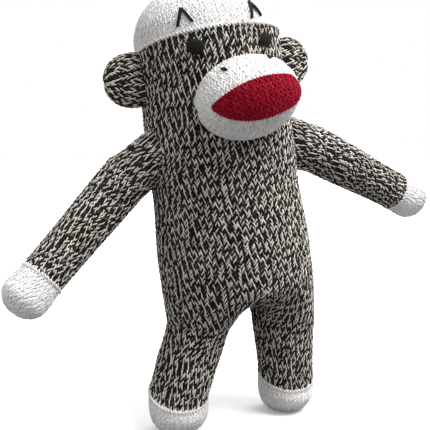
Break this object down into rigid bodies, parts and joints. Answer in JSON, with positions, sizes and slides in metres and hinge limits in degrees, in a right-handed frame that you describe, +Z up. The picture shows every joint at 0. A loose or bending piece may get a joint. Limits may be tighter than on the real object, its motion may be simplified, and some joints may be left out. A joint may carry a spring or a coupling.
{
  "type": "stuffed monkey",
  "caption": "Knitted stuffed monkey toy with marled body, white hands, feet and muzzle, red lips, and limbs, ears and head that move.",
  "frame": {"origin": "on the ground under the middle of the figure's box", "axes": "+Z up, the toy faces -Y, its own right side is at -X"},
  "size_m": [0.3102, 0.1252, 0.2982],
  "materials": {
    "marl_knit": "chunky stockinette knitted from yarn with a dark ply and a cream ply, matt",
    "white_knit": "soft white stockinette, matt with a little fuzz",
    "red_knit": "fine red stockinette, matt",
    "black_felt": "black felt disc, matt",
    "black_floss": "black embroidery floss, a soft sheen",
    "sewing_thread": "twisted sewing thread",
    "stuffing": "fibre filling, never seen"
  },
  "bodies": {
    "torso": {"torso_cover": "marl_knit", "torso_stuffing": "stuffing"},
    "neck": {"neck_wadding": "stuffing"},
    "head": {"head_cover": "marl_knit", "head_stuffing": "stuffing", "crown_cap": "white_knit", "muzzle_cover": "white_knit", "muzzle_stuffing": "stuffing", "lips": "red_knit", "right_eye": "black_felt", "left_eye": "black_felt", "right_brow": "black_floss", "left_brow": "black_floss", "right_nostril": "black_floss", "left_nostril": "black_floss"},
    "right_ear": {"right_ear_cover": "marl_knit", "right_ear_stuffing": "stuffing"},
    "right_shoulder": {"right_shoulder_wadding": "stuffing"},
    "right_arm": {"right_arm_cover": "marl_knit", "right_arm_stuffing": "stuffing", "right_hand_cap": "white_knit", "right_wrist_seam": "sewing_thread"},
    "right_leg": {"right_leg_cover": "marl_knit", "right_leg_stuffing": "stuffing", "right_foot_cap": "white_knit"},
    "left_ear": {"left_ear_cover": "marl_knit", "left_ear_stuffing": "stuffing"},
    "left_shoulder": {"left_shoulder_wadding": "stuffing"},
    "left_arm": {"left_arm_cover": "marl_knit", "left_arm_stuffing": "stuffing", "left_hand_cap": "white_knit", "left_wrist_seam": "sewing_thread"},
    "left_leg": {"left_leg_cover": "marl_knit", "left_leg_stuffing": "stuffing", "left_foot_cap": "white_knit"}
  },
  "joints": [
    {"name": "neck_turn", "type": "hinge", "parent": "torso", "child": "neck", "pos_m": [-0.01693, 0.01626, 0.22462], "axis": [-0.1392, 0, 0.9903], "range_deg": [-30, 30], "stiffness_Nm_per_rad": 0.6},
    {"name": "neck_nod", "type": "hinge", "parent": "neck", "child": "head", "pos_m": [-0.01693, 0.01626, 0.22462], "axis": [0.9903, 0, 0.1392], "range_deg": [-22, 8], "stiffness_Nm_per_rad": 1.2},
    {"name": "right_ear_fold", "type": "hinge", "parent": "head", "child": "right_ear", "pos_m": [-0.07155, 0.01626, 0.23209], "axis": [-0.1392, 0, 0.9903], "range_deg": [-30, 30], "stiffness_Nm_per_rad": 0.02},
    {"name": "right_shoulder_swing", "type": "hinge", "parent": "torso", "child": "right_shoulder", "pos_m": [-0.07766, 0.01626, 0.16963], "axis": [-0.1392, 0, 0.9903], "range_deg": [-45, 45], "stiffness_Nm_per_rad": 0.15},
    {"name": "right_shoulder_raise", "type": "hinge", "parent": "right_shoulder", "child": "right_arm", "pos_m": [-0.07766, 0.01626, 0.16963], "axis": [-0.2396, 0.9703, -0.0337], "range_deg": [-26, 95], "stiffness_Nm_per_rad": 0.3},
    {"name": "left_ear_fold", "type": "hinge", "parent": "head", "child": "left_ear", "pos_m": [0.03352, 0.01626, 0.24685], "axis": [0.1392, 0, -0.9903], "range_deg": [-30, 30], "stiffness_Nm_per_rad": 0.02},
    {"name": "left_shoulder_swing", "type": "hinge", "parent": "torso", "child": "left_shoulder", "pos_m": [0.05661, 0.01626, 0.1885], "axis": [0.1392, 0, -0.9903], "range_deg": [-25, 65], "stiffness_Nm_per_rad": 0.15},
    {"name": "left_shoulder_raise", "type": "hinge", "parent": "left_shoulder", "child": "left_arm", "pos_m": [0.05661, 0.01626, 0.1885], "axis": [0.1035, -0.9945, 0.0145], "range_deg": [-31, 90], "stiffness_Nm_per_rad": 0.3},
    {"name": "right_hip_swing", "type": "hinge", "parent": "torso", "child": "right_leg", "pos_m": [-0.0271, 0.01626, 0.07424], "axis": [-0.9903, 0, -0.1392], "range_deg": [-20, 85], "stiffness_Nm_per_rad": 1.5},
    {"name": "left_hip_swing", "type": "hinge", "parent": "torso", "child": "left_leg", "pos_m": [0.0343, 0.01626, 0.08287], "axis": [-0.9903, 0, -0.1392], "range_deg": [-20, 85], "stiffness_Nm_per_rad": 1.5}
  ]
}
